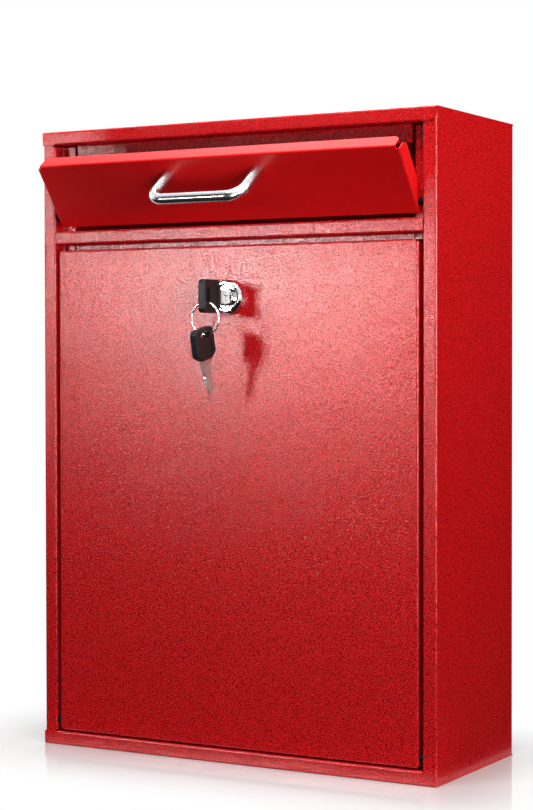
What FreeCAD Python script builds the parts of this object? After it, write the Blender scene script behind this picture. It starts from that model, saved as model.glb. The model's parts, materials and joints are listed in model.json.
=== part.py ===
import FreeCAD, Part
import math
import os
from FreeCAD import Vector

# Wall mounted post box of folded steel sheet, in millimetres.
# Origin: centre of the four wall screw holes, on the back face of the box.
# X runs to the right seen from the front, Y runs back into the wall, Z is up.

# Case
case_width = 291.0
case_depth = 117.0
case_height = 411.0
sheet = 0.9
bend_outer = 1.4
stile_width = 9.5
rail_height = 9.0
mid_rail_height = 9.0
letter_opening = 57.5
rebate_depth = 11.0
stile_lip = 9.5
rail_lip = 11.5
mid_rail_lip = 9.0
lip_end_gap = 2.0
right_corner_radius = 5.5
left_corner_radius = 1.0
wall_hole_span_x = 200.0
wall_hole_span_z = 280.0
wall_hole_radius = 3.0

# Clearances
seat_gap = 0.6
weld_gap = 0.2
notch_gap = 0.8
pin_play = 0.07
end_play = 0.15

# Flap over the letter opening
flap_side_gap = 3.5
flap_bottom_gap = 4.4
flap_top_gap = 5.4
flap_open_angle = 37.0
flap_pin_back = 4.2
flap_pin_up = 5.0
flap_notch = 2.5
flap_corner_radius = 4.5

# Handle on the flap
handle_bar_radius = 3.75
handle_span = 65.4
handle_reach = 29.4
handle_bend_radius = 10.0
handle_below_top = 11.5
handle_screw_radius = 2.0
handle_screw_grip = 9.0
screw_head_radius = 3.8
screw_head_height = 2.4

# Hinge pins
pin_radius = 1.5
shoulder_radius = 2.4
clip_radius = 2.6
clip_thickness = 0.5
pin_end = 0.9

# Door
door_side_gap = 2.8
door_top_gap = 4.0
door_bottom_gap = 1.0
door_pin_back = 3.0
door_pin_up = 6.5
door_toe = 1.8
door_swing_gap = 0.35

# Lock
lock_below_door_top = 33.1
bezel_radius = 11.1
bezel_height = 4.9
bezel_chamfer = 1.5
bezel_recess_radius = 8.2
bezel_recess_depth = 2.2
barrel_radius = 9.5
barrel_flats = 16.0
barrel_fit = 0.1
washer_radius = 13.0
washer_thickness = 1.0
nut_across_flats = 24.0
nut_height = 4.0
plug_radius = 5.7
plug_proud = 1.0
plug_fit = 0.05
cam_gap = 0.7
cam_thickness = 2.0
cam_width = 13.0
cam_overlap = 9.0
cam_square = 6.0
cam_screw_radius = 2.0
cam_screw_depth = 5.0

# Keys
head_length = 20.0
head_width = 21.0
head_thickness = 5.0
head_corner_radius = 3.0
head_slope = 3.2
head_edge_radius = 0.7
slot_from_end = 4.6
slot_width = 3.4
slot_length = 11.0
window_from_end = 9.6
window_length = 6.5
window_width = 13.0
window_depth = 0.5
shoulder_length = 7.8
shoulder_width = 8.4
blade_length = 14.0
blade_width = 6.6
blade_thickness = 2.0
blade_groove = 0.5
blade_in_head = 7.0
bitting_depths = (0.6, 1.3, 1.7, 2.2)
keyway_gap = 0.3
ring_radius = 9.9
ring_wire_radius = 0.75
ring_joint_gap = 0.5
ring_sag = 0.3
spare_key_tilt = 13.0

# Levels and planes that follow from the sizes above
bend_inner = bend_outer - sheet
half_width = case_width / 2
top_z = case_height / 2
bottom_z = -case_height / 2
front_y = -case_depth
stile_y = front_y + sheet
lip_y = front_y + rebate_depth
jamb_x = half_width - stile_width
letter_top_z = top_z - rail_height
letter_bottom_z = letter_top_z - letter_opening
mid_rail_bottom_z = letter_bottom_z - mid_rail_height
rebate_end_y = lip_y - seat_gap

flap_half_width = jamb_x - flap_side_gap
flap_bottom_z = letter_bottom_z + flap_bottom_gap
flap_top_z = letter_top_z - flap_top_gap
flap_pin = Vector(0, front_y + flap_pin_back, flap_bottom_z + flap_pin_up)

door_half_width = jamb_x - door_side_gap
door_bottom_z = bottom_z + rail_height + door_bottom_gap
door_top_z = mid_rail_bottom_z - door_top_gap
door_pin = Vector(0, stile_y + door_pin_back, door_bottom_z + door_pin_up)
door_swing_radius = lip_y - door_pin.y - door_swing_gap

lock_z = door_top_z - lock_below_door_top
bezel_front_y = stile_y - bezel_height
plug_front_y = bezel_front_y - plug_proud
cam_front_y = lip_y + sheet + cam_gap
barrel_end_y = cam_front_y - weld_gap
cam_length = mid_rail_bottom_z - mid_rail_lip + cam_overlap - lock_z

head_end_y = plug_front_y - shoulder_length - head_length
slot_y = head_end_y + slot_from_end
slot_end_offset = (slot_length - slot_width) / 2
ring_top_z = lock_z - slot_end_offset - ring_sag
ring_z = ring_top_z - ring_radius
ring_bottom_z = ring_z - ring_radius


def right_normal(direction):
    """Return the unit vector to the right of a direction in the drawing plane."""
    return Vector(direction.y, -direction.x, 0)


def corner_arc(before, corner, after, radius):
    """Return the start, middle and end of the arc that rounds a corner."""
    into = (corner - before).normalize()
    out = (after - corner).normalize()
    half_turn = into.getAngle(out) / 2
    reach = radius * math.tan(half_turn)
    inward = (out - into).normalize()
    middle = corner + inward * (radius / math.cos(half_turn) - radius)
    return corner - into * reach, middle, corner + out * reach


def rounded_run(points, radii):
    """Return the edges of an open run of lines whose inner corners are rounded."""
    edges = []
    last = points[0]
    for index, radius in enumerate(radii, start=1):
        start, middle, end = corner_arc(points[index - 1], points[index], points[index + 1], radius)
        edges.append(Part.makeLine(last, start))
        edges.append(Part.Arc(start, middle, end).toShape())
        last = end
    edges.append(Part.makeLine(last, points[-1]))
    return edges


def rounded_face(corners):
    """Return a flat face from corners given as (x, y, radius)."""
    points = [Vector(x, y, 0) for x, y, radius in corners]
    count = len(points)
    edges = []
    arcs = []
    for index, (x, y, radius) in enumerate(corners):
        before = points[index - 1]
        after = points[(index + 1) % count]
        if radius > 0:
            arcs.append(corner_arc(before, points[index], after, radius))
        else:
            arcs.append((points[index], None, points[index]))
    for index, (start, middle, end) in enumerate(arcs):
        if middle is not None:
            edges.append(Part.Arc(start, middle, end).toShape())
        next_start = arcs[(index + 1) % count][0]
        if end.distanceToPoint(next_start) > 1e-6:
            edges.append(Part.makeLine(end, next_start))
    return Part.Face(Part.Wire(edges))


def folded_face(corners):
    """Return the section of folded sheet; corners lie on the skin, the metal is to their right."""
    points = [Vector(x, y, 0) for x, y in corners]
    headings = [(points[i + 1] - points[i]).normalize() for i in range(len(points) - 1)]
    normals = [right_normal(heading) for heading in headings]
    offset = [points[0] + normals[0] * sheet]
    skin_radii = []
    core_radii = []
    for index in range(1, len(points) - 1):
        first = normals[index - 1]
        second = normals[index]
        offset.append(points[index] + (first + second) * (sheet / (1 + first.dot(second))))
        turns_right = headings[index - 1].cross(headings[index]).z < 0
        skin_radii.append(bend_outer if turns_right else bend_inner)
        core_radii.append(bend_inner if turns_right else bend_outer)
    offset.append(points[-1] + normals[-1] * sheet)
    edges = rounded_run(points, skin_radii)
    edges.append(Part.makeLine(points[-1], offset[-1]))
    edges += rounded_run(offset[::-1], core_radii[::-1])
    edges.append(Part.makeLine(offset[0], points[0]))
    return Part.Face(Part.Wire(edges))


def upright(face, low_z, high_z):
    """Extrude a section drawn in plan from one height to another."""
    solid = face.extrude(Vector(0, 0, high_z - low_z))
    solid.translate(Vector(0, 0, low_z))
    return solid


def sideways(face, low_x, high_x):
    """Extrude a section drawn in Y and Z from one X to another."""
    solid = face.extrude(Vector(0, 0, high_x - low_x))
    solid.rotate(Vector(0, 0, 0), Vector(1, 1, 1), 120)
    solid.translate(Vector(low_x, 0, 0))
    return solid


def block(low, high):
    """Return a box between two corners."""
    size = [high[axis] - low[axis] for axis in range(3)]
    return Part.makeBox(size[0], size[1], size[2], Vector(*low))


def rod_x(radius, low_x, high_x, y, z):
    """Return a round rod along X."""
    return Part.makeCylinder(radius, high_x - low_x, Vector(low_x, y, z), Vector(1, 0, 0))


def rod_y(radius, low_y, high_y, x, z):
    """Return a round rod along Y."""
    return Part.makeCylinder(radius, high_y - low_y, Vector(x, low_y, z), Vector(0, 1, 0))


def span(side, near, far):
    """Return the low and high X of a stretch on the left (-1) or right (1) side."""
    return sorted((side * near, side * far))


def jamb_pin_holes():
    """Return the rods that drill the four hinge pin holes through both jambs."""
    rods = []
    for pin in (flap_pin, door_pin):
        for side in (-1, 1):
            low, high = span(side, jamb_x - sheet, jamb_x + 2 * sheet)
            rods.append(rod_x(pin_radius, low, high, pin.y, pin.z))
    return rods


def make_case_wrap():
    """Back, sides, stiles and their rebate, folded from one sheet."""
    left_side = [
        (-jamb_x + stile_lip, lip_y),
        (-jamb_x, lip_y),
        (-jamb_x, stile_y),
        (-half_width, stile_y),
        (-half_width, 0),
    ]
    right_side = [(-x, y) for x, y in left_side[::-1]]
    wrap = upright(folded_face(left_side + right_side), bottom_z + sheet, top_z - sheet)
    cuts = jamb_pin_holes()
    for side in (-1, 1):
        for z_sign in (-1, 1):
            low, high = span(side, 0, jamb_x + bend_outer)
            notch_z = top_z - rail_height - notch_gap
            ends = sorted((z_sign * notch_z, z_sign * (top_z + sheet)))
            cuts.append(block((low, front_y - 1, ends[0]), (high, lip_y + 2 * sheet, ends[1])))
            low, high = span(side, 0, half_width + 1)
            notch_z = top_z - sheet - bend_inner
            ends = sorted((z_sign * notch_z, z_sign * (top_z + sheet)))
            cuts.append(block((low, front_y - 1, ends[0]), (high, stile_y + sheet, ends[1])))
    for x_sign in (-1, 1):
        for z_sign in (-1, 1):
            x = x_sign * wall_hole_span_x / 2
            z = z_sign * wall_hole_span_z / 2
            cuts.append(rod_y(wall_hole_radius, -2 * sheet, sheet, x, z))
    return wrap.cut(cuts)


def make_top_panel():
    """Top plate with its front flange, rebate and lip; the flange laps over the stiles."""
    lip_half = jamb_x - stile_lip - lip_end_gap
    flange = [(front_y, letter_top_z), (front_y, top_z), (0, top_z)]
    rebate = [(rebate_end_y, letter_top_z)] + flange
    lip = [(lip_y, letter_top_z - rail_lip), (lip_y, letter_top_z)] + flange
    rebate_half = jamb_x - weld_gap
    pieces = [sideways(folded_face(lip), -lip_half, lip_half)]
    for side, radius in ((-1, left_corner_radius), (1, right_corner_radius)):
        low, high = span(side, lip_half, rebate_half)
        pieces.append(sideways(folded_face(rebate), low, high))
        low, high = span(side, rebate_half, half_width)
        end = sideways(folded_face(flange), low, high)
        rounding = [
            (side * half_width, letter_top_z - 1, 0),
            (side * rebate_half, letter_top_z - 1, 0),
            (side * rebate_half, letter_top_z, 0),
            (side * half_width, letter_top_z, radius),
            (side * half_width, letter_top_z + radius + 1, 0),
            (side * (half_width + 1), letter_top_z + radius + 1, 0),
            (side * (half_width + 1), letter_top_z - 1, 0),
        ]
        cutter = rounded_face(rounding).extrude(Vector(0, 0, 4 * sheet))
        cutter.rotate(Vector(0, 0, 0), Vector(1, 0, 0), 90)
        cutter.translate(Vector(0, front_y + 3 * sheet, 0))
        pieces.append(end.cut(cutter))
    return pieces[0].fuse(pieces[1:]).removeSplitter()


def make_bottom_panel():
    """Bottom plate, the mirror image of the top plate."""
    return make_top_panel().mirror(Vector(0, 0, 0), Vector(0, 0, 1))


def make_mid_rail():
    """Rail between the letter opening and the door, with a lip that the lock's cam holds."""
    lip_half = jamb_x - stile_lip - lip_end_gap / 2
    channel = [
        (rebate_end_y, mid_rail_bottom_z),
        (stile_y, mid_rail_bottom_z),
        (stile_y, letter_bottom_z),
        (rebate_end_y, letter_bottom_z),
    ]
    lipped = [(lip_y, mid_rail_bottom_z - mid_rail_lip), (lip_y, mid_rail_bottom_z)] + channel[1:]
    pieces = [sideways(folded_face(lipped), -lip_half, lip_half)]
    for side in (-1, 1):
        low, high = span(side, lip_half, jamb_x)
        pieces.append(sideways(folded_face(channel), low, high))
        low, high = span(side, jamb_x - sheet, jamb_x)
        tab_low = (low, stile_y + sheet, mid_rail_bottom_z + sheet)
        tab_high = (high, rebate_end_y, letter_bottom_z - sheet)
        pieces.append(block(tab_low, tab_high))
    return pieces[0].fuse(pieces[1:]).removeSplitter()


def opened(shape):
    """Turn a piece of the flap from its shut place to its open place."""
    shape.rotate(flap_pin, Vector(1, 0, 0), flap_open_angle)
    return shape


def make_flap_panel():
    """Flap with top and side returns, notched and rounded where they meet."""
    sides = [
        (flap_half_width, rebate_end_y),
        (flap_half_width, front_y),
        (-flap_half_width, front_y),
        (-flap_half_width, rebate_end_y),
    ]
    profile = [(front_y, flap_bottom_z), (front_y, flap_top_z), (rebate_end_y, flap_top_z)]
    tray = upright(folded_face(sides), flap_bottom_z, flap_top_z - flap_notch)
    top_half = flap_half_width - flap_notch
    panel = tray.fuse(sideways(folded_face(profile), -top_half, top_half)).removeSplitter()
    cuts = []
    heel = rebate_end_y - flap_pin.y
    corners = [
        (rebate_end_y, flap_top_z - flap_notch, flap_corner_radius),
        (rebate_end_y, flap_bottom_z, heel - 0.1),
        (front_y - 1, flap_bottom_z, 0),
        (front_y - 1, flap_top_z - flap_notch, 0),
    ]
    frame_corners = [
        (rebate_end_y + 1, flap_bottom_z - 1, 0),
        (front_y - 2, flap_bottom_z - 1, 0),
        (front_y - 2, flap_top_z - flap_notch, 0),
        (rebate_end_y + 1, flap_top_z - flap_notch, 0),
    ]
    trim = rounded_face(frame_corners).cut(rounded_face(corners))
    for side in (-1, 1):
        low, high = span(side, flap_half_width - sheet, flap_half_width)
        cuts += [sideways(face, low, high) for face in trim.Faces]
        low, high = span(side, flap_half_width - 2 * sheet, flap_half_width + sheet)
        cuts.append(rod_x(pin_radius + pin_play, low, high, flap_pin.y, flap_pin.z))
        end_x = side * top_half
        corner = [
            (end_x, rebate_end_y, flap_corner_radius),
            (end_x, rebate_end_y - 2 * flap_corner_radius, 0),
            (end_x + side, rebate_end_y - 2 * flap_corner_radius, 0),
            (end_x + side, rebate_end_y + 1, 0),
            (end_x - side * 2 * flap_corner_radius, rebate_end_y + 1, 0),
            (end_x - side * 2 * flap_corner_radius, rebate_end_y, 0),
        ]
        cuts.append(upright(rounded_face(corner), flap_top_z - 2 * sheet, flap_top_z + sheet))
        cuts.append(rod_y(handle_screw_radius + end_play, front_y - 1, stile_y + sheet,
                          side * handle_span / 2, flap_top_z - handle_below_top))
    return opened(panel.cut(cuts))


def make_flap_handle():
    """Round bar bent to a flat U, tapped at both feet."""
    half = handle_span / 2
    z = flap_top_z - handle_below_top
    path_points = [
        Vector(-half, front_y, z),
        Vector(-half, front_y - handle_reach, z),
        Vector(half, front_y - handle_reach, z),
        Vector(half, front_y, z),
    ]
    path = Part.Wire(rounded_run(path_points, [handle_bend_radius, handle_bend_radius]))
    circle = Part.makeCircle(handle_bar_radius, path_points[0], Vector(0, 1, 0))
    bar = path.makePipe(Part.Face(Part.Wire(circle)))
    for side in (-1, 1):
        bar = bar.cut(rod_y(handle_screw_radius, front_y - handle_screw_grip, front_y, side * half, z))
    return opened(bar)


def make_handle_screws():
    """Two pan head screws that hold the handle from behind the flap."""
    screws = []
    z = flap_top_z - handle_below_top
    for side in (-1, 1):
        x = side * handle_span / 2
        shank = rod_y(handle_screw_radius, front_y - handle_screw_grip, stile_y, x, z)
        head = rod_y(screw_head_radius, stile_y, stile_y + screw_head_height, x, z)
        rim = [edge for edge in head.Edges if edge.Closed and edge.CenterOfMass.y > stile_y + 1]
        head = head.makeFillet(1.0, rim)
        slot = block((x - 0.5, stile_y + screw_head_height - 1.0, z - screw_head_radius),
                     (x + 0.5, stile_y + screw_head_height + 1.0, z + screw_head_radius))
        screws.append(opened(shank.fuse(head).cut(slot)))
    return Part.makeCompound(screws)


def make_hinge_pin(side, pin, wing_x):
    """Shouldered pin riveted flush in a jamb; wing_x is the outer face of what turns on it."""
    low, high = span(side, wing_x - sheet - end_play - clip_thickness - pin_end, jamb_x + sheet)
    shank = rod_x(pin_radius, low, high, pin.y, pin.z)
    low, high = span(side, wing_x + end_play, jamb_x)
    return shank.fuse(rod_x(shoulder_radius, low, high, pin.y, pin.z)).removeSplitter()


def make_flap_clips():
    """Push-on washers that keep the flap on its pins."""
    clips = []
    far = flap_half_width - sheet - end_play
    for side in (-1, 1):
        low, high = span(side, far - clip_thickness, far)
        washer = rod_x(clip_radius, low, high, flap_pin.y, flap_pin.z)
        clips.append(washer.cut(rod_x(pin_radius, low, high, flap_pin.y, flap_pin.z)))
    return Part.makeCompound(clips)


def barrel_section(extra):
    """Return the face of the lock barrel's round section with two flats."""
    round_face = Part.Face(Part.Wire(Part.makeCircle(barrel_radius + extra)))
    half = barrel_flats / 2 + extra
    wide = 2 * half
    flats = rounded_face([(-wide, -half, 0), (wide, -half, 0), (wide, half, 0), (-wide, half, 0)])
    return round_face.common(flats).Faces[0]


def lock_stretch(face, low_y, high_y):
    """Extrude a face drawn about the lock's axis along that axis."""
    solid = face.extrude(Vector(0, 0, high_y - low_y))
    solid.rotate(Vector(0, 0, 0), Vector(1, 0, 0), -90)
    solid.translate(Vector(0, low_y, lock_z))
    return solid


def make_door_panel():
    """Collection door, a tray with returns all round and a hole for the lock."""
    sides = [
        (door_half_width, rebate_end_y),
        (door_half_width, stile_y),
        (-door_half_width, stile_y),
        (-door_half_width, rebate_end_y),
    ]
    profile = [
        (door_pin.y + door_toe, door_bottom_z),
        (stile_y, door_bottom_z),
        (stile_y, door_top_z),
        (rebate_end_y, door_top_z),
    ]
    tray = upright(folded_face(sides), door_bottom_z + bend_outer, door_top_z - bend_outer)
    inner_half = door_half_width - bend_outer
    panel = tray.fuse(sideways(folded_face(profile), -inner_half, inner_half)).removeSplitter()
    cuts = [lock_stretch(barrel_section(barrel_fit), stile_y - 1, stile_y + 2 * sheet)]
    for side in (-1, 1):
        low, high = span(side, door_half_width - 2 * sheet, door_half_width + sheet)
        cuts.append(rod_x(pin_radius + pin_play, low, high, door_pin.y, door_pin.z))
    low, high = span(1, -door_half_width - 1, door_half_width + 1)
    heel_box = block((low, door_pin.y, door_bottom_z - 1), (high, rebate_end_y + 1, door_pin.z))
    cuts.append(heel_box.cut(rod_x(door_swing_radius, low, high, door_pin.y, door_pin.z)))
    return panel.cut(cuts)


def make_lock_barrel():
    """Bezel and barrel in one casting, bored for the plug."""
    profile = [
        (0, stile_y, 0),
        (bezel_radius, stile_y, 0),
        (bezel_radius, bezel_front_y + bezel_chamfer, 0.4),
        (bezel_radius - bezel_chamfer, bezel_front_y, 0.4),
        (bezel_recess_radius, bezel_front_y, 0.3),
        (bezel_recess_radius, bezel_front_y + bezel_recess_depth, 0),
        (0, bezel_front_y + bezel_recess_depth, 0),
    ]
    bezel = rounded_face(profile).revolve(Vector(0, 0, 0), Vector(0, 1, 0), 360)
    bezel.translate(Vector(0, 0, lock_z))
    barrel = lock_stretch(barrel_section(0), stile_y, barrel_end_y)
    bore = rod_y(plug_radius + plug_fit, bezel_front_y - 1, barrel_end_y + 1, 0, lock_z)
    return bezel.fuse(barrel).cut(bore).removeSplitter()


def make_lock_washer():
    """Flat washer between the door and the lock's nut."""
    low_y = stile_y + sheet
    washer = rod_y(washer_radius, low_y, low_y + washer_thickness, 0, lock_z)
    return washer.cut(lock_stretch(barrel_section(barrel_fit), low_y - 1, low_y + washer_thickness + 1))


def make_lock_nut():
    """Hexagonal nut that clamps the lock in the door."""
    corner_radius = nut_across_flats / 2 / math.cos(math.pi / 6)
    angles = [math.radians(60 * step) for step in range(6)]
    hexagon = [(corner_radius * math.cos(a), corner_radius * math.sin(a), 0) for a in angles]
    low_y = stile_y + sheet + washer_thickness
    nut = lock_stretch(rounded_face(hexagon), low_y, low_y + nut_height)
    return nut.cut(lock_stretch(barrel_section(0), low_y - 1, low_y + nut_height + 1))


def make_lock_plug():
    """Turning plug with its keyway in front and a square tail for the cam."""
    plug = rod_y(plug_radius, plug_front_y, barrel_end_y, 0, lock_z)
    rim = [edge for edge in plug.Edges if edge.Closed and edge.CenterOfMass.y < plug_front_y + 1]
    plug = plug.makeFillet(0.5, rim)
    half = cam_square / 2
    tail = block((-half, barrel_end_y, lock_z - half), (half, cam_front_y + cam_thickness, lock_z + half))
    slot_x = blade_thickness / 2 + keyway_gap
    slot_z = blade_width / 2 + keyway_gap
    keyway = block((-slot_x, plug_front_y - 1, lock_z - slot_z),
                   (slot_x, plug_front_y + blade_length + 2 * keyway_gap, lock_z + slot_z))
    thread = rod_y(cam_screw_radius, cam_front_y + cam_thickness - cam_screw_depth,
                   cam_front_y + cam_thickness, 0, lock_z)
    return plug.fuse(tail).cut([keyway, thread])


def make_lock_cam():
    """Flat cam on the plug's tail, pointing to the left while the door is free."""
    half = cam_width / 2
    tip = cam_width / 2 - 1.5
    outline = [
        (half, -half, half - 0.1),
        (half, half, half - 0.1),
        (-cam_length + 4 * tip, half, 8.0),
        (-cam_length + 3 * tip, tip, 8.0),
        (-cam_length, tip, 3.0),
        (-cam_length, -tip, 3.0),
        (-cam_length + 3 * tip, -tip, 8.0),
        (-cam_length + 4 * tip, -half, 8.0),
    ]
    cam = lock_stretch(rounded_face(outline), cam_front_y, cam_front_y + cam_thickness)
    half_square = cam_square / 2
    hole = block((-half_square, cam_front_y - 1, lock_z - half_square),
                 (half_square, cam_front_y + cam_thickness + 1, lock_z + half_square))
    return cam.cut(hole)


def make_cam_screw():
    """Screw that holds the cam on the plug."""
    end_y = cam_front_y + cam_thickness
    shank = rod_y(cam_screw_radius, end_y - cam_screw_depth, end_y, 0, lock_z)
    head = rod_y(screw_head_radius, end_y, end_y + screw_head_height, 0, lock_z)
    rim = [edge for edge in head.Edges if edge.Closed and edge.CenterOfMass.y > end_y + 1]
    head = head.makeFillet(1.0, rim)
    slot = block((-screw_head_radius, end_y + screw_head_height - 1.0, lock_z - 0.5),
                 (screw_head_radius, end_y + screw_head_height + 1.0, lock_z + 0.5))
    return shank.fuse(head).cut(slot)


def key_flat(face, thickness):
    """Extrude a key outline drawn in length and width, centred on its thickness."""
    return sideways(face, -thickness / 2, thickness / 2)


def make_key_head():
    """Moulded head, its end at the origin and its blade side along +Y."""
    half = head_width / 2
    neck = shoulder_width / 2 + 1
    outline = [
        (0, -half, head_corner_radius),
        (0, half, head_corner_radius),
        (head_length - head_slope, half, 1.5),
        (head_length, neck, 1.5),
        (head_length, -neck, 1.5),
        (head_length - head_slope, -half, 1.5),
    ]
    head = key_flat(rounded_face(outline), head_thickness)
    rims = [edge for edge in head.Edges if abs(abs(edge.CenterOfMass.x) - head_thickness / 2) < 1e-6]
    head = head.makeFillet(head_edge_radius, rims)
    slot_half = slot_length / 2
    near = slot_from_end - slot_width / 2
    far = slot_from_end + slot_width / 2
    end_radius = slot_width / 2 - 0.001
    slot = [
        (near, -slot_half, end_radius),
        (near, slot_half, end_radius),
        (far, slot_half, end_radius),
        (far, -slot_half, end_radius),
    ]
    cuts = [key_flat(rounded_face(slot), 2 * head_thickness)]
    window = [
        (window_from_end, -window_width / 2, 1.0),
        (window_from_end, window_width / 2, 1.0),
        (window_from_end + window_length, window_width / 2, 1.0),
        (window_from_end + window_length, -window_width / 2, 1.0),
    ]
    for side in (-1, 1):
        low, high = span(side, head_thickness / 2 - window_depth, head_thickness)
        cuts.append(sideways(rounded_face(window), low, high))
    half_blade = blade_thickness / 2
    cuts.append(block((-half_blade, head_length - blade_in_head, -blade_width / 2),
                      (half_blade, head_length + 1, blade_width / 2)))
    return head.cut(cuts)


def make_key_blade():
    """Blade with its shoulder, milled grooves and cut edge, in the head's own frame."""
    half = blade_width / 2
    shoulder = shoulder_width / 2
    shoulder_end = head_length + shoulder_length
    tip = shoulder_end + blade_length
    step = (blade_length - 3.0) / len(bitting_depths)
    outline = [
        (head_length - blade_in_head, -half, 0),
        (head_length - blade_in_head, half, 0),
        (head_length, half, 0),
        (head_length, shoulder, 0),
        (shoulder_end, shoulder, 0.3),
        (shoulder_end, half, 0),
        (tip - 2.0, half, 0.6),
        (tip, 0.6, 0.4),
        (tip, -0.6, 0.4),
        (tip - 2.0, -half + bitting_depths[-1], 0),
    ]
    for index in range(len(bitting_depths) - 1, -1, -1):
        low = shoulder_end + 1.0 + index * step
        depth = -half + bitting_depths[index]
        outline.append((low + 0.7 * step, depth, 0))
        outline.append((low + 0.3 * step, depth, 0))
        outline.append((low, -half + 0.3, 0))
    outline += [(shoulder_end, -half, 0), (shoulder_end, -shoulder, 0.3), (head_length, -shoulder, 0),
                (head_length, -half, 0)]
    blade = key_flat(rounded_face(outline), blade_thickness)
    cuts = []
    for side in (-1, 1):
        low, high = span(side, blade_thickness / 2 - blade_groove, blade_thickness)
        near = side * 0.25 * half
        cuts.append(block((low, shoulder_end - 3, near - 0.5), (high, tip + 1, near + 0.5)))
    return blade.cut(cuts)


def in_lock(piece):
    """Place a piece of the key that stands in the lock."""
    piece.translate(Vector(0, head_end_y, lock_z))
    return piece


def on_ring(piece):
    """Place a piece of the spare key so that the ring runs through the end of its slot."""
    piece.translate(Vector(0, -slot_from_end, -slot_end_offset - ring_sag))
    piece.rotate(Vector(0, 0, 0), Vector(1, 0, 0), spare_key_tilt - 90)
    piece.translate(Vector(0, slot_y, ring_bottom_z))
    return piece


def make_key_ring():
    """Round wire bent to a ring, its ends almost meeting on the left."""
    ring = Part.makeTorus(ring_radius, ring_wire_radius, Vector(0, 0, 0), Vector(0, 1, 0))
    joint = block((-ring_radius - 2, -2, -ring_joint_gap / 2), (-ring_radius + 2, 2, ring_joint_gap / 2))
    ring = ring.cut(joint)
    ring.translate(Vector(0, slot_y, ring_z))
    return ring


nodes = {
    "case_wrap": make_case_wrap(),
    "top_panel": make_top_panel(),
    "bottom_panel": make_bottom_panel(),
    "mid_rail": make_mid_rail(),
    "flap_panel": make_flap_panel(),
    "flap_handle": make_flap_handle(),
    "handle_screws": make_handle_screws(),
    "flap_pin_left": make_hinge_pin(-1, flap_pin, flap_half_width),
    "flap_pin_right": make_hinge_pin(1, flap_pin, flap_half_width),
    "door_panel": make_door_panel(),
    "door_pin_left": make_hinge_pin(-1, door_pin, door_half_width),
    "door_pin_right": make_hinge_pin(1, door_pin, door_half_width),
    "flap_clips": make_flap_clips(),
    "lock_barrel": make_lock_barrel(),
    "lock_washer": make_lock_washer(),
    "lock_nut": make_lock_nut(),
    "lock_plug": make_lock_plug(),
    "lock_cam": make_lock_cam(),
    "cam_screw": make_cam_screw(),
    "key_head": in_lock(make_key_head()),
    "key_blade": in_lock(make_key_blade()),
    "key_ring": make_key_ring(),
    "spare_key_head": on_ring(make_key_head()),
    "spare_key_blade": on_ring(make_key_blade()),
}

os.makedirs("parts", exist_ok=True)
for name, shape in nodes.items():
    shape.exportStep(f"parts/{name}.step")
    print(name, "valid" if shape.isValid() else "INVALID", len(shape.Solids), round(shape.Volume, 1))
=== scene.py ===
# %% [markdown]
# # A wall mounted post box of folded steel sheet
# The box, its flap, its door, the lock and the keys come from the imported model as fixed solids. This script
# gives each of them its finish, makes the shiny pieces again with smooth surfaces and the flap again with its
# side returns cut back, and sets up the floor, the cards, the lamps and the camera. Every length is in metres:
# X runs to the right, Y into the wall and Z up.

# %% Load the frame
import json
import math
import bmesh
import bpy
from mathutils import Matrix, Vector


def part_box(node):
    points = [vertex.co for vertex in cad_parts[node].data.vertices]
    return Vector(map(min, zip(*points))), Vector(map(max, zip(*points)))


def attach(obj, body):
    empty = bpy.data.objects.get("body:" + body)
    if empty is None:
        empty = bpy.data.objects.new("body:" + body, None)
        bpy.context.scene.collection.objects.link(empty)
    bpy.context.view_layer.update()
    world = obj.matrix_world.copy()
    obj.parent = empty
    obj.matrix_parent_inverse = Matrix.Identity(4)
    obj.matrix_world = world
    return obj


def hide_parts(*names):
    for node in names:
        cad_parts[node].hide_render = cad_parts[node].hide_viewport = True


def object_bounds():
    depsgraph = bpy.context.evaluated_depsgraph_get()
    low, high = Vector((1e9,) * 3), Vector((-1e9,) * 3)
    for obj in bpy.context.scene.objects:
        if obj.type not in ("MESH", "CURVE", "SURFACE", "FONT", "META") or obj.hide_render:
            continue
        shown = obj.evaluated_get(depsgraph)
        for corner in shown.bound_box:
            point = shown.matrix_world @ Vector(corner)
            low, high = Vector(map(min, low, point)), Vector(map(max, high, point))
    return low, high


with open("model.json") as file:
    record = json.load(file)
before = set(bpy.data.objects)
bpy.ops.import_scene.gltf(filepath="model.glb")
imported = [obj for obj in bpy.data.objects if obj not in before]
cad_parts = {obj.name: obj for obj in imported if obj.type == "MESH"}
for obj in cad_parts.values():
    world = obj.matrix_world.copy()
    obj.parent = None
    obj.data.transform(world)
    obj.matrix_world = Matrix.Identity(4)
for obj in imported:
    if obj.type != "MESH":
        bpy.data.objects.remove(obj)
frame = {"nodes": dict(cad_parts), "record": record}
cad_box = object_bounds()
nodes = frame["nodes"]
print("nodes in the frame:", len(nodes))

# %% [markdown]
# ## Colours and nodes
# Paint makers and web pages give colours as sRGB hex values, but a shader works in linear light, so one function
# turns the first into the second. A material is a small tree of nodes, and one helper adds a node, sets its
# properties and plugs in its inputs, which keeps each material readable as a recipe.

# %% Two helpers for materials
def linear(hex_colour):
    """Turn an sRGB hex colour into the linear RGBA that shaders use."""
    channels = [int(hex_colour[i:i + 2], 16) / 255 for i in (1, 3, 5)]
    return [c / 12.92 if c <= 0.04045 else ((c + 0.055) / 1.055) ** 2.4 for c in channels] + [1.0]


def add_node(tree, kind, settings=None, inputs=None):
    """Add a node, set its properties, and give its inputs a value or a link from a socket."""
    node = tree.nodes.new(kind)
    for name, value in (settings or {}).items():
        setattr(node, name, value)
    for name, value in (inputs or {}).items():
        if isinstance(value, bpy.types.NodeSocket):
            tree.links.new(value, node.inputs[name])
        else:
            node.inputs[name].default_value = value
    return node


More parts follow.
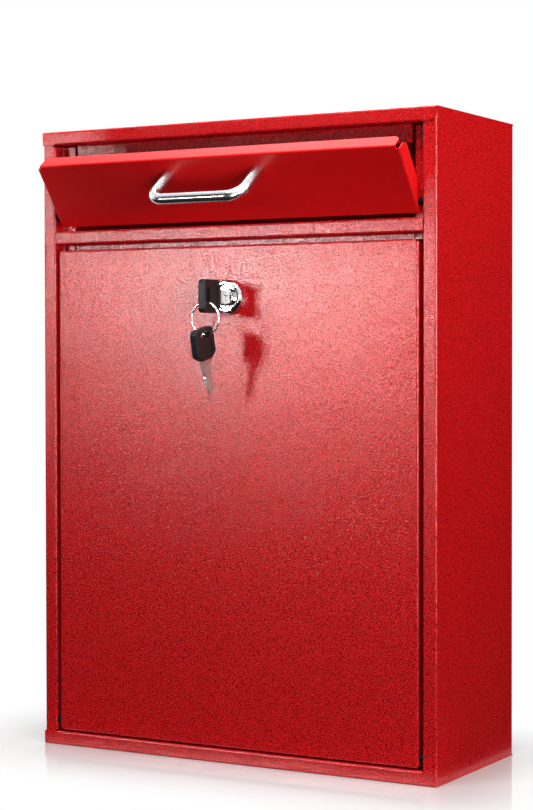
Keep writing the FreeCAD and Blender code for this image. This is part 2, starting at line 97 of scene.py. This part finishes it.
def new_material(name):
    """Start a material with an output node and the object's own coordinates."""
    material = bpy.data.materials.new(name)
    material.use_nodes = True
    tree = material.node_tree
    tree.nodes.clear()
    output = add_node(tree, "ShaderNodeOutputMaterial")
    place = add_node(tree, "ShaderNodeTexCoord").outputs["Object"]
    return material, tree, output, place


print("white in linear light:", linear("#ffffff"))

# %% [markdown]
# ## Textured powder coat
# The case, the rails and the door wear a polyester powder coat with a fine texture. The powder is sprayed on dry
# and melts in an oven, and it stops short of flowing flat, so the skin is covered in grains a little under a
# millimetre wide. Each grain tips the surface and catches the lamps on its own, which gives the eye a red field
# full of small light specks. One noise drives the bump, the colour and the gloss together. The colour is partly a
# random tone and partly painted light: light red on the tops of the grains as a painted highlight and dark red in
# the dips between them as painted shade. The gloss is high on the tops and low in the dips.

# %% Powder coat on the case and door
powder_red, powder_tree, powder_output, powder_place = new_material("textured_powder_coat_red")
grain_width = 0.0007
grain_relief = 0.00012
grain = add_node(powder_tree, "ShaderNodeTexNoise", inputs={
    "Vector": powder_place, "Scale": 1 / grain_width, "Detail": 1.0, "Roughness": 0.5})
# Painted highlight and painted shade: the ramp runs from dark red in the dips of the grains to light red on their
# tops.
grain_tone_and_shade = add_node(powder_tree, "ShaderNodeValToRGB", inputs={"Fac": grain.outputs["Fac"]})
grain_tone_and_shade.color_ramp.elements[0].position = 0.44
grain_tone_and_shade.color_ramp.elements[0].color = linear("#760507")
grain_tone_and_shade.color_ramp.elements[1].position = 0.56
grain_tone_and_shade.color_ramp.elements[1].color = linear("#d6191d")
powder_bump = add_node(powder_tree, "ShaderNodeBump", inputs={
    "Height": grain.outputs["Fac"], "Strength": 1.0, "Distance": grain_relief})
grain_gloss = add_node(powder_tree, "ShaderNodeMapRange", inputs={
    "Value": grain.outputs["Fac"], "From Min": 0.45, "From Max": 0.57, "To Min": 0.08, "To Max": 1.0})
powder_shader = add_node(powder_tree, "ShaderNodeBsdfPrincipled", inputs={
    "Base Color": grain_tone_and_shade.outputs["Color"], "Normal": powder_bump.outputs["Normal"],
    "Specular IOR Level": grain_gloss.outputs["Result"], "Roughness": 0.19, "IOR": 1.5})
powder_tree.links.new(powder_shader.outputs["BSDF"], powder_output.inputs["Surface"])
print("powder coat grain:", grain_width * 1000, "mm")

# %% [markdown]
# ## Smooth enamel on the flap
# The real flap is painted much the same red as the case, but it is smooth and satin, so it shows a soft even sheen
# with no specks and looks darker where no lamp mirrors in it. Here its red is set lighter than the case's, as
# painted light that lifts the flap where it faces down, away from the lamps. Sprayed paint is never dead flat, so
# a faint ripple a few millimetres wide bends the sheen.

# %% Satin enamel
flap_red, flap_tree, flap_output, flap_place = new_material("satin_enamel_red")
ripples_per_metre = 260.0
ripple = add_node(flap_tree, "ShaderNodeTexNoise", inputs={
    "Vector": flap_place, "Scale": ripples_per_metre, "Detail": 2.0, "Roughness": 0.5})
# Painted light: this red is lighter than the case's, to lift the flap where it faces down away from the lamps.
flap_lightened_red = add_node(flap_tree, "ShaderNodeValToRGB", inputs={"Fac": ripple.outputs["Fac"]})
flap_lightened_red.color_ramp.elements[0].position = 0.3
flap_lightened_red.color_ramp.elements[0].color = linear("#be090c")
flap_lightened_red.color_ramp.elements[1].position = 0.7
flap_lightened_red.color_ramp.elements[1].color = linear("#c60b0e")
flap_bump = add_node(flap_tree, "ShaderNodeBump", inputs={
    "Height": ripple.outputs["Fac"], "Strength": 0.12, "Distance": 0.0002})
flap_shader = add_node(flap_tree, "ShaderNodeBsdfPrincipled", inputs={
    "Base Color": flap_lightened_red.outputs["Color"], "Normal": flap_bump.outputs["Normal"],
    "Specular IOR Level": 0.35, "Roughness": 0.36, "IOR": 1.5})
flap_tree.links.new(flap_shader.outputs["BSDF"], flap_output.inputs["Surface"])
print("flap enamel made")

# %% [markdown]
# ## Plated and bare metals
# Chrome plate on the lock and the ring is a mirror with hardly any haze. The handle is a satin plated bar, a
# little softer. The screws, washers, nut and cam are zinc plated, which is grey with cloudy patches of brightness.
# The key blades are nickel plated brass, warm grey and dull from use. The hinge pins are coloured near black as
# painted shade, so that they sink into the dark gaps of the flap and the door. One recipe builds all five, because
# plated metals differ only in their colour, the size of their clouds and how hazy they are.

# %% Chrome plate, satin plate, zinc, nickel and near black pins as painted shade
metal_recipes = {
    "bright_chrome_plate": ("#cfd0d1", "#e6e6e7", 900.0, 0.05, 0.1),
    "satin_chrome_bar": ("#c6c7c8", "#dededf", 700.0, 0.18, 0.26),
    "zinc_plate": ("#9a9ca0", "#c6c7c8", 350.0, 0.26, 0.46),
    "nickel_plate": ("#b4b3ae", "#d2d1cd", 1400.0, 0.36, 0.52),
    # Painted shade: the pins are near black so that they read as the shade in the hinge gaps.
    "pin_steel_painted_shade": ("#101011", "#1b1b1d", 600.0, 0.36, 0.5),
}
metals = {}
for metal_name, (dark, light, scale, smoothest, roughest) in metal_recipes.items():
    metal, metal_tree, metal_output, metal_place = new_material(metal_name)
    cloud = add_node(metal_tree, "ShaderNodeTexNoise", inputs={
        "Vector": metal_place, "Scale": scale, "Detail": 4.0, "Roughness": 0.6})
    tone = add_node(metal_tree, "ShaderNodeValToRGB", inputs={"Fac": cloud.outputs["Fac"]})
    tone.color_ramp.elements[0].position = 0.3
    tone.color_ramp.elements[0].color = linear(dark)
    tone.color_ramp.elements[1].position = 0.7
    tone.color_ramp.elements[1].color = linear(light)
    haze = add_node(metal_tree, "ShaderNodeMapRange", inputs={
        "Value": cloud.outputs["Fac"], "To Min": smoothest, "To Max": roughest})
    metal_bump = add_node(metal_tree, "ShaderNodeBump", inputs={
        "Height": cloud.outputs["Fac"], "Strength": 0.05, "Distance": 0.00005})
    metal_shader = add_node(metal_tree, "ShaderNodeBsdfPrincipled", inputs={
        "Base Color": tone.outputs["Color"], "Roughness": haze.outputs["Result"],
        "Normal": metal_bump.outputs["Normal"], "Metallic": 1.0})
    metal_tree.links.new(metal_shader.outputs["BSDF"], metal_output.inputs["Surface"])
    metals[metal_name] = metal
    print("metal:", metal_name)

# %% [markdown]
# ## Moulded key heads
# The key heads are black ABS, moulded on the blade. The mould was lightly polished, so the plastic has a satin
# gloss with a very fine haze, and its black is not quite black.

# %% Black ABS
key_black, black_tree, black_output, black_place = new_material("moulded_abs_black")
mould_scale = 2500.0
mould = add_node(black_tree, "ShaderNodeTexNoise", inputs={
    "Vector": black_place, "Scale": mould_scale, "Detail": 2.0, "Roughness": 0.5})
mould_haze = add_node(black_tree, "ShaderNodeMapRange", inputs={
    "Value": mould.outputs["Fac"], "To Min": 0.38, "To Max": 0.5})
black_range = add_node(black_tree, "ShaderNodeValToRGB", inputs={"Fac": mould.outputs["Fac"]})
black_range.color_ramp.elements[0].color = linear("#0b0b0c")
black_range.color_ramp.elements[1].color = linear("#1b1b1d")
black_bump = add_node(black_tree, "ShaderNodeBump", inputs={
    "Height": mould.outputs["Fac"], "Strength": 0.1, "Distance": 0.00004})
black_shader = add_node(black_tree, "ShaderNodeBsdfPrincipled", inputs={
    "Base Color": black_range.outputs["Color"], "Roughness": mould_haze.outputs["Result"],
    "Normal": black_bump.outputs["Normal"], "Specular IOR Level": 0.22, "IOR": 1.54})
black_tree.links.new(black_shader.outputs["BSDF"], black_output.inputs["Surface"])
print("key plastic made")

# %% [markdown]
# ## Dress the solids
# Each solid of the frame keeps its shape and gets its finish. A table says which finish belongs to which pieces,
# so that none is left in the plain colour it came with.

# %% Give each node its finish
finish_of = {
    powder_red: ("case_wrap", "top_panel", "bottom_panel", "mid_rail", "door_panel"),
    flap_red: ("flap_panel",),
    metals["satin_chrome_bar"]: ("flap_handle",),
    metals["bright_chrome_plate"]: ("lock_barrel", "lock_plug", "key_ring"),
    metals["zinc_plate"]: ("handle_screws", "flap_clips", "lock_washer", "lock_nut", "lock_cam", "cam_screw"),
    metals["nickel_plate"]: ("key_blade", "spare_key_blade"),
    metals["pin_steel_painted_shade"]: ("flap_pin_left", "flap_pin_right", "door_pin_left", "door_pin_right"),
    key_black: ("key_head", "spare_key_head"),
}
dressed = 0
for finish, names in finish_of.items():
    for name in names:
        nodes[name].data.materials.clear()
        nodes[name].data.materials.append(finish)
        dressed += 1
print("dressed", dressed, "of", len(nodes), "nodes")

# %% [markdown]
# ## Smooth copies of the shiny pieces
# The frame's round pieces are made of small flat facets, and a mirror finish shows every one of them. A bent bar,
# a wire ring, a turned bezel and a moulded key head are smooth, so each gets a copy of its mesh whose loose
# triangles are joined and shaded as one curve. Edges sharper than the limit stay crisp, as a turned or moulded
# corner does. A subdivided remake would be smoother still, but it would round the corners that catch the light.

# %% Copy, join and shade
crisp_angle = math.radians(32)
weld_distance = 1e-6
members = frame["record"]["behaviour"]["bodies"]
carrier = {node: body for body, group in members.items() for node in group}


def joined_copy(name):
    """Return a node's mesh for editing, with its loose triangles joined."""
    mesh = bmesh.new()
    mesh.from_mesh(nodes[name].data)
    bmesh.ops.remove_doubles(mesh, verts=mesh.verts, dist=weld_distance)
    return mesh


def stand_in(name, mesh):
    """Shade the mesh, give it the node's finish and let it take the node's place."""
    for face in mesh.faces:
        face.smooth = True
    for edge in mesh.edges:
        edge.smooth = len(edge.link_faces) == 2 and edge.calc_face_angle() < crisp_angle
    data = bpy.data.meshes.new(name + "_smooth")
    mesh.to_mesh(data)
    mesh.free()
    data.materials.append(nodes[name].data.materials[0])
    piece = bpy.data.objects.new(name + "_smooth", data)
    bpy.context.scene.collection.objects.link(piece)
    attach(piece, carrier[name])
    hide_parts(name)
    print(piece.name, "faces:", len(data.polygons))


for name in ("flap_handle", "lock_barrel", "lock_plug", "key_ring", "key_head", "spare_key_head"):
    stand_in(name, joined_copy(name))

# %% [markdown]
# ## Flap with its returns cut back
# The flap is a shallow tray. Each side return keeps its full depth down to a knee and is then cut back towards
# the foot, which may be there to clear the opening as the flap swings. The cut stops short of the hinge pin's
# hole, to leave metal round it. One slanted plane across a copy of the flap makes both cuts, and the open edge
# is closed again. Boolean blocks could cut it too, but a plane leaves no thin slivers behind.

# %% Cut the returns
knee_depth, knee_height = 0.0100, 0.0118
foot_depth = 0.0052
flap_open = math.radians(37)
flap_axis = Vector((0, -0.1128, 0.1484))
flap_front, flap_foot = -0.117, 0.1434
open_turn = Matrix.Rotation(flap_open, 3, "X")
knee = flap_axis + open_turn @ (Vector((0, flap_front + knee_depth, flap_foot + knee_height)) - flap_axis)
foot = flap_axis + open_turn @ (Vector((0, flap_front + foot_depth, flap_foot)) - flap_axis)
outward = (knee - foot).cross(Vector((1, 0, 0))).normalized()
flap_mesh = joined_copy("flap_panel")
bmesh.ops.bisect_plane(flap_mesh, geom=flap_mesh.verts[:] + flap_mesh.edges[:] + flap_mesh.faces[:],
                       dist=1e-7, plane_co=knee, plane_no=outward, clear_outer=True)
bmesh.ops.holes_fill(flap_mesh, edges=[edge for edge in flap_mesh.edges if edge.is_boundary], sides=0)
bmesh.ops.triangulate(flap_mesh, faces=flap_mesh.faces[:])
print("open edges left on the flap:", sum(edge.is_boundary for edge in flap_mesh.edges))
stand_in("flap_panel", flap_mesh)

# %% [markdown]
# ## Floor
# A photographer's white table. Close to the box it is a glossy light grey, which holds the shadow and mirrors the
# foot of the box; its grey is painted shade round the foot. Over about a tenth of a metre it fades into plain
# white, and what the camera sees of that is pure white, so the table has no visible end. It is a flat disc, wide
# enough to fill the picture.

# %% The floor
def seen_directly(tree):
    """Return a socket that is 1 for rays from the camera, off a mirror or through glass, else 0."""
    ray = add_node(tree, "ShaderNodeLightPath")
    seen = ray.outputs["Is Camera Ray"]
    for kind in ("Is Glossy Ray", "Is Transmission Ray"):
        either = add_node(tree, "ShaderNodeMath", {"operation": "MAXIMUM"})
        tree.links.new(seen, either.inputs[0])
        tree.links.new(ray.outputs[kind], either.inputs[1])
        seen = either.outputs["Value"]
    return seen


floor_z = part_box("bottom_panel")[0].z
floor_radius = 6.0
fade_distance = 0.11
floor_mesh = bmesh.new()
bmesh.ops.create_circle(floor_mesh, cap_ends=True, radius=floor_radius, segments=96,
                        matrix=Matrix.Translation((0, 0, floor_z)))
floor_data = bpy.data.meshes.new("floor")
floor_mesh.to_mesh(floor_data)
floor_mesh.free()
floor = bpy.data.objects.new("floor", floor_data)
bpy.context.scene.collection.objects.link(floor)

floor_white, floor_tree, floor_output, floor_place = new_material("white_table")
foot_low, foot_high = cad_box
across_floor = add_node(floor_tree, "ShaderNodeSeparateXYZ", inputs={"Vector": floor_place})
outside = add_node(floor_tree, "ShaderNodeCombineXYZ")
case_front_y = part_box("top_panel")[0].y
for axis, low, high in (("X", foot_low.x, foot_high.x), ("Y", case_front_y, foot_high.y)):
    centred = add_node(floor_tree, "ShaderNodeMath", {"operation": "SUBTRACT"})
    floor_tree.links.new(across_floor.outputs[axis], centred.inputs[0])
    centred.inputs[1].default_value = (low + high) / 2
    span = add_node(floor_tree, "ShaderNodeMath", {"operation": "ABSOLUTE"}, {
        "Value": centred.outputs["Value"]})
    beyond = add_node(floor_tree, "ShaderNodeMath", {"operation": "SUBTRACT"})
    floor_tree.links.new(span.outputs["Value"], beyond.inputs[0])
    beyond.inputs[1].default_value = (high - low) / 2
    clipped = add_node(floor_tree, "ShaderNodeMath", {"operation": "MAXIMUM"}, {
        "Value": beyond.outputs["Value"]})
    clipped.inputs[1].default_value = 0.0
    floor_tree.links.new(clipped.outputs["Value"], outside.inputs[axis])
from_foot = add_node(floor_tree, "ShaderNodeVectorMath", {"operation": "LENGTH"}, {
    "Vector": outside.outputs["Vector"]})
far = add_node(floor_tree, "ShaderNodeMapRange", {"interpolation_type": "SMOOTHSTEP"}, {
    "Value": from_foot.outputs["Value"], "From Min": 0.0, "From Max": fade_distance})
# Painted shade: the floor close to the foot is grey, and it fades to white further out.
foot_gloss_painted_shade = add_node(floor_tree, "ShaderNodeBsdfPrincipled", inputs={
    "Base Color": linear("#c8c8c8"), "Roughness": 0.06, "IOR": 1.6})
plain_white = add_node(floor_tree, "ShaderNodeBsdfDiffuse", inputs={"Color": linear("#f0f0f0")})
pure_white = add_node(floor_tree, "ShaderNodeEmission", inputs={"Color": linear("#ffffff"), "Strength": 1.0})
far_white = add_node(floor_tree, "ShaderNodeMixShader", inputs={"Fac": seen_directly(floor_tree)})
floor_tree.links.new(plain_white.outputs["BSDF"], far_white.inputs[1])
floor_tree.links.new(pure_white.outputs["Emission"], far_white.inputs[2])
floor_mix = add_node(floor_tree, "ShaderNodeMixShader", inputs={"Fac": far.outputs["Result"]})
floor_tree.links.new(foot_gloss_painted_shade.outputs["BSDF"], floor_mix.inputs[1])
floor_tree.links.new(far_white.outputs["Shader"], floor_mix.inputs[2])
floor_tree.links.new(floor_mix.outputs["Shader"], floor_output.inputs["Surface"])
floor_data.materials.append(floor_white)
print("floor at", round(floor_z, 4))

# %% [markdown]
# ## Black cards
# Glossy red paint on a white table mirrors the table and turns pink, and light that bounces off the table
# flattens the shading. A photographer lays black cards just outside the picture, and so does this scene. Two lie
# on the floor, in front and at the right, and keep the table out of the door and the side. Two stand up where the
# front and the side would mirror the white room. The fifth is a flag, close in front of the box, which keeps the
# main lamp off most of the top rail and out of the letter opening. The camera sees none of them directly, only
# the flag casts a shadow, and each is clear when seen from behind.

# %% Cards that only reflections see
card_black, card_tree, card_output, card_place = new_material("black_card")
card_shader = add_node(card_tree, "ShaderNodeBsdfDiffuse", inputs={"Color": linear("#161616")})
card_back = add_node(card_tree, "ShaderNodeBsdfTransparent")
card_side = add_node(card_tree, "ShaderNodeNewGeometry")
card_mix = add_node(card_tree, "ShaderNodeMixShader", inputs={"Fac": card_side.outputs["Backfacing"]})
card_tree.links.new(card_shader.outputs["BSDF"], card_mix.inputs[1])
card_tree.links.new(card_back.outputs["BSDF"], card_mix.inputs[2])
card_tree.links.new(card_mix.outputs["Shader"], card_output.inputs["Surface"])
lift = 0.002
cards = {
    "card_in_front": ((-2.6, -3.13, floor_z + lift), (7.0, 6.0), 0, 0),
    "card_at_right": ((3.15, 2.4, floor_z + lift), (6.0, 5.0), 0, 0),
    "flag": ((-0.09, -0.367, 0.292), (0.3, 0.256), 90, 180),
    "card_at_left": ((-1.6, -2.77, 0.9), (3.6, 2.2), 90, 150),
    "card_behind": ((1.0, 1.3, 0.3), (2.4, 1.2), 90, -30),
}
for card_name, (centre, (width, depth), tilt, facing) in cards.items():
    card_mesh = bmesh.new()
    turn = Matrix.Rotation(math.radians(facing), 4, "Z") @ Matrix.Rotation(math.radians(tilt), 4, "X")
    bmesh.ops.create_grid(card_mesh, x_segments=1, y_segments=1, size=0.5, matrix=(
        Matrix.Translation(centre) @ turn @ Matrix.Diagonal((width, depth, 1, 1))))
    card_data = bpy.data.meshes.new(card_name)
    card_mesh.to_mesh(card_data)
    card_mesh.free()
    card_data.materials.append(card_black)
    card = bpy.data.objects.new(card_name, card_data)
    bpy.context.scene.collection.objects.link(card)
    card.visible_camera = False
    card.visible_diffuse = centre[2] < 0
    card.visible_shadow = card_name == "flag"
print("cards:", len(cards))

# %% [markdown]
# ## Light
# The main lamp is a small soft box in front on the left, where the grains of the door mirror it as a sheen that
# fades downwards. A lamp close above makes the front faces grow darker towards the foot, and one above the
# right does the same for the side. The edge lamp stands where the rounded corner between front and side mirrors
# it as a bright line. Two weak lamps lift the flap, one behind it for its top edge and one in front and below for
# its face. Two more, at the left and behind, are for the views of those sides. The world adds a little even
# light, and it is pure white wherever it is seen or mirrored.

# %% World and lamps
world = bpy.data.worlds.new("studio")
bpy.context.scene.world = world
world.use_nodes = True
world_tree = world.node_tree
world_tree.nodes.clear()
fill_strength, seen_strength = 0.1, 1.0
world_output = add_node(world_tree, "ShaderNodeOutputWorld")
strength = add_node(world_tree, "ShaderNodeMapRange", inputs={
    "Value": seen_directly(world_tree), "To Min": fill_strength, "To Max": seen_strength})
white = add_node(world_tree, "ShaderNodeBackground", inputs={
    "Color": linear("#ffffff"), "Strength": strength.outputs["Result"]})
world_tree.links.new(white.outputs["Background"], world_output.inputs["Surface"])

box_middle = Vector((0, -0.06, 0.02))
flap_middle = Vector((0, -0.13, 0.17))
lamps = {
    "sheen_lamp": ((-0.72, -1.41, 0.27), (0.26, 0.26), 9.0, 180, box_middle),
    "top_lamp": ((0.1, -0.45, 0.75), (0.5, 0.5), 9.5, 180, box_middle),
    "edge_lamp": ((1.45, -0.84, 0.14), (0.9, 0.16), 13.0, 180, box_middle),
    "side_lamp": ((0.75, -0.1, 0.65), (0.4, 0.4), 5.6, 180, box_middle),
    "left_lamp": ((-0.9, -0.02, 0.45), (0.4, 0.4), 3.0, 180, box_middle),
    "back_lamp": ((-0.3, 1.0, 0.5), (0.5, 0.5), 5.0, 180, box_middle),
    "flap_lamp": ((-0.38, 0.18, 1.0), (0.35, 0.35), 1.2, 180, box_middle),
    "flap_fill": ((0.45, -0.85, -0.1), (0.3, 0.3), 0.16, 34, flap_middle),
}
for lamp_name, (place, (width, height), watts, spread, target) in lamps.items():
    lamp_data = bpy.data.lights.new(lamp_name, "AREA")
    lamp_data.shape = "RECTANGLE"
    lamp_data.size = width
    lamp_data.size_y = height
    lamp_data.energy = watts
    lamp_data.spread = math.radians(spread)
    lamp = bpy.data.objects.new(lamp_name, lamp_data)
    lamp.location = place
    lamp.rotation_euler = (target - Vector(place)).to_track_quat("-Z", "Y").to_euler()
    bpy.context.scene.collection.objects.link(lamp)
    print(lamp_name, watts, "W")

# %% [markdown]
# ## Camera
# The camera stands where the photograph was taken from, found by matching the corners of the box: about 30
# degrees to the right of the front, a little above the middle, looking very slightly down.

# %% The camera
lens_mm = 89.29
camera_place = (0.6609, -1.2128, 0.0531)
camera_data = bpy.data.cameras.new("camera")
camera_data.sensor_fit = "VERTICAL"
camera_data.sensor_height = 36.0
camera_data.lens = lens_mm
camera = bpy.data.objects.new("camera", camera_data)
heading, pitch, roll = (math.radians(angle) for angle in (30.018, -1.294, -0.083))
forward = Vector((-math.sin(heading) * math.cos(pitch), math.cos(heading) * math.cos(pitch),
                  math.sin(pitch)))
level = Vector((math.cos(heading), math.sin(heading), 0))
upright = level.cross(forward)
across = level * math.cos(roll) + upright * math.sin(roll)
upward = upright * math.cos(roll) - level * math.sin(roll)
turned = Matrix((across, upward, -forward)).transposed().to_4x4()
camera.matrix_world = Matrix.Translation(camera_place) @ turned
bpy.context.scene.collection.objects.link(camera)
bpy.context.scene.camera = camera
bpy.context.scene.view_settings.view_transform = "Standard"
print("camera", [round(v, 3) for v in camera.location])
